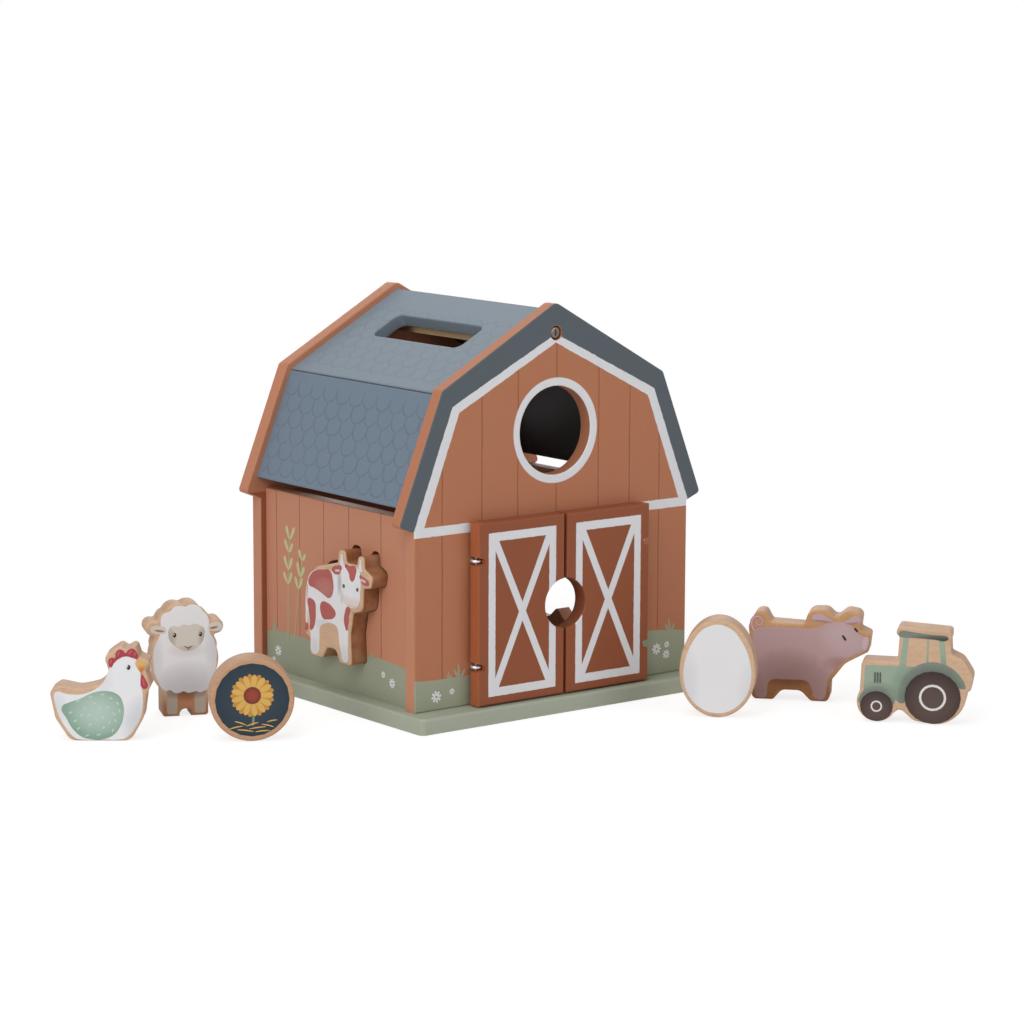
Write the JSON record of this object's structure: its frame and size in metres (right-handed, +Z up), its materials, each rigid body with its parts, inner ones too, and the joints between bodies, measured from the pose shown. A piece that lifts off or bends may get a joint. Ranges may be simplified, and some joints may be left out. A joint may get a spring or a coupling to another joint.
{
  "type": "toy shape sorter barn",
  "caption": "Wooden barn shape sorter with swinging doors, gambrel roof, animal-shaped holes in the walls and matching loose blocks.",
  "frame": {"origin": "On the floor, at the underside of the base plate, under the middle of the barn: midway between the two gables and between the two side walls.", "axes": "+X to the right seen from the front, the doors face -Y, +Z up. The loose blocks stand on the same floor at z = 0."},
  "size_m": [0.3858, 0.302, 0.2025],
  "materials": {
    "terracotta_paint": "matte painted board with white and green print",
    "door_paint": "matte painted board, darker, with white printed frame",
    "slate_paint": "matte painted board with printed scallop shingles",
    "sage_paint": "matte painted board",
    "bare_wood": "clear matte on bare wood",
    "screw_steel": "plain zinc plated steel",
    "hinge_chrome": "polished",
    "cow_print": "bare wood edges, printed face in white and brick red",
    "hen_print": "bare wood edges, printed face in white, sage and red",
    "sheep_print": "bare wood edges, printed face in white and beige",
    "disc_print": "bare wood edges, printed face in dark blue with a yellow motif",
    "egg_print": "bare wood edges, printed face in plain off-white",
    "pig_print": "bare wood edges, printed face in dusty pink",
    "tractor_print": "bare wood edges, printed face in sage with dark wheels"
  },
  "bodies": {
    "barn": {"base_plate": "sage_paint", "front_gable": "terracotta_paint", "back_gable": "terracotta_paint", "left_wall": "terracotta_paint", "right_wall": "terracotta_paint", "roof_upper_left": "slate_paint", "roof_upper_right": "slate_paint", "roof_lower_left": "slate_paint", "roof_lower_right": "slate_paint", "ridge_batten": "bare_wood", "ridge_screw_front": "screw_steel", "ridge_screw_back": "screw_steel", "base_screws": "screw_steel", "wall_dowels": "bare_wood", "roof_dowels": "bare_wood", "hinge_eye_left_upper": "hinge_chrome", "hinge_eye_left_lower": "hinge_chrome", "hinge_eye_right_upper": "hinge_chrome", "hinge_eye_right_lower": "hinge_chrome"},
    "left_door": {"left_door": "door_paint", "left_hinge_pins": "screw_steel"},
    "right_door": {"right_door": "door_paint", "right_hinge_pins": "screw_steel"},
    "cow_block": {"cow_block": "cow_print"},
    "hen_block": {"hen_block": "hen_print"},
    "sheep_block": {"sheep_block": "sheep_print"},
    "disc_block": {"disc_block": "disc_print"},
    "egg_block": {"egg_block": "egg_print"},
    "pig_block": {"pig_block": "pig_print"},
    "tractor_block": {"tractor_block": "tractor_print"}
  },
  "joints": [
    {"name": "left_door_hinge", "type": "hinge", "parent": "barn", "child": "left_door", "pos_m": [-0.0512, -0.0742, 0.0539], "axis": [0, 0, -1], "range_deg": [0, 95]},
    {"name": "right_door_hinge", "type": "hinge", "parent": "barn", "child": "right_door", "pos_m": [0.0512, -0.0742, 0.0539], "axis": [0, 0, 1], "range_deg": [0, 65]},
    {"name": "cow_post", "type": "slide", "parent": "barn", "child": "cow_block", "axis": [-1, 0, 0], "range_m": [-0.024, 0.03]},
    {"name": "hen_lift", "type": "slide", "parent": "barn", "child": "hen_block", "axis": [0, 0, 1], "range_m": [0, 0.06]},
    {"name": "sheep_lift", "type": "slide", "parent": "barn", "child": "sheep_block", "axis": [0, 0, 1], "range_m": [0, 0.06]},
    {"name": "disc_lift", "type": "slide", "parent": "barn", "child": "disc_block", "axis": [0, 0, 1], "range_m": [0, 0.06]},
    {"name": "egg_lift", "type": "slide", "parent": "barn", "child": "egg_block", "axis": [0, 0, 1], "range_m": [0, 0.06]},
    {"name": "pig_lift", "type": "slide", "parent": "barn", "child": "pig_block", "axis": [0, 0, 1], "range_m": [0, 0.06]},
    {"name": "tractor_lift", "type": "slide", "parent": "barn", "child": "tractor_block", "axis": [0, 0, 1], "range_m": [0, 0.06]}
  ]
}
